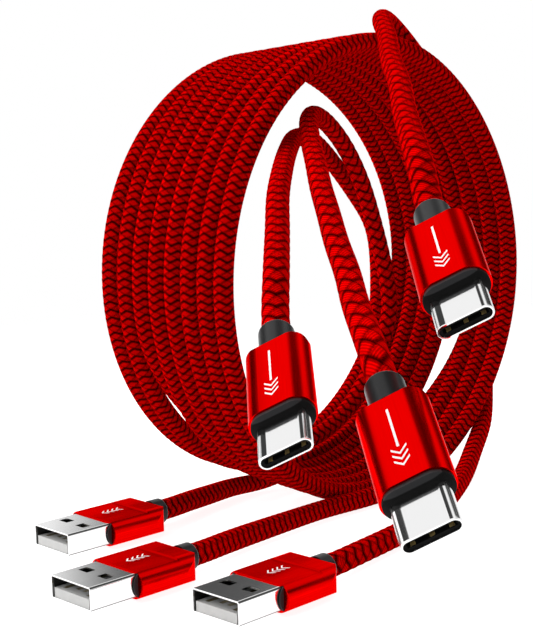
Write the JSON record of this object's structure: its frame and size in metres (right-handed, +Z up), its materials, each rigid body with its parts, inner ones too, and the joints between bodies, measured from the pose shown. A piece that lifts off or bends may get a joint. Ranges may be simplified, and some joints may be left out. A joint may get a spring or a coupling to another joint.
{
  "type": "charging cable set",
  "caption": "Braided USB-A to USB-C charging cables wound into one upright coil, with the USB-A plugs laid out in front and the USB-C plugs standing off in the air.",
  "frame": {"origin": "centre of the bounding box's foot, on the surface that the coil and the USB-A plugs rest on", "axes": "+X along the coil's axis towards the USB-C plugs' side, +Y from the USB-A mouths towards the coil, +Z up"},
  "size_m": [0.1388, 0.1669, 0.11],
  "materials": {
    "plug_shell": "polished nickel plating",
    "tongue": "light grey moulding",
    "contact": "gold flash",
    "inner_mould": "satin black moulding",
    "sleeve": "satin red anodising",
    "collar": "satin black rubber",
    "latch": "spring steel",
    "card": "green solder mask",
    "cord": "red nylon braid with dark gaps"
  },
  "bodies": {
    "root": {"usb_a_shell_1": "plug_shell", "usb_a_shell_2": "plug_shell", "usb_a_shell_3": "plug_shell", "usb_a_tongue_1": "tongue", "usb_a_tongue_2": "tongue", "usb_a_tongue_3": "tongue", "usb_a_contacts_1": "contact", "usb_a_contacts_2": "contact", "usb_a_contacts_3": "contact", "usb_a_core_1": "inner_mould", "usb_a_core_2": "inner_mould", "usb_a_core_3": "inner_mould", "usb_a_sleeve_1": "sleeve", "usb_a_sleeve_2": "sleeve", "usb_a_sleeve_3": "sleeve", "usb_a_collar_1": "collar", "usb_a_collar_2": "collar", "usb_a_collar_3": "collar", "usb_c_shell_1": "plug_shell", "usb_c_shell_2": "plug_shell", "usb_c_shell_3": "plug_shell", "usb_c_insulator_1": "inner_mould", "usb_c_insulator_2": "inner_mould", "usb_c_insulator_3": "inner_mould", "usb_c_contacts_1": "contact", "usb_c_contacts_2": "contact", "usb_c_contacts_3": "contact", "usb_c_springs_1": "contact", "usb_c_springs_2": "contact", "usb_c_springs_3": "contact", "usb_c_latch_1": "latch", "usb_c_latch_2": "latch", "usb_c_latch_3": "latch", "usb_c_card_1": "card", "usb_c_card_2": "card", "usb_c_card_3": "card", "usb_c_core_1": "inner_mould", "usb_c_core_2": "inner_mould", "usb_c_core_3": "inner_mould", "usb_c_sleeve_1": "sleeve", "usb_c_sleeve_2": "sleeve", "usb_c_sleeve_3": "sleeve", "usb_c_collar_1": "collar", "usb_c_collar_2": "collar", "usb_c_collar_3": "collar", "cord_a_1": "cord", "cord_a_2": "cord", "cord_a_3": "cord", "coil_1": "cord", "coil_2": "cord", "coil_3": "cord", "cord_c_1": "cord", "cord_c_2": "cord", "cord_c_3": "cord"}
  },
  "joints": []
}
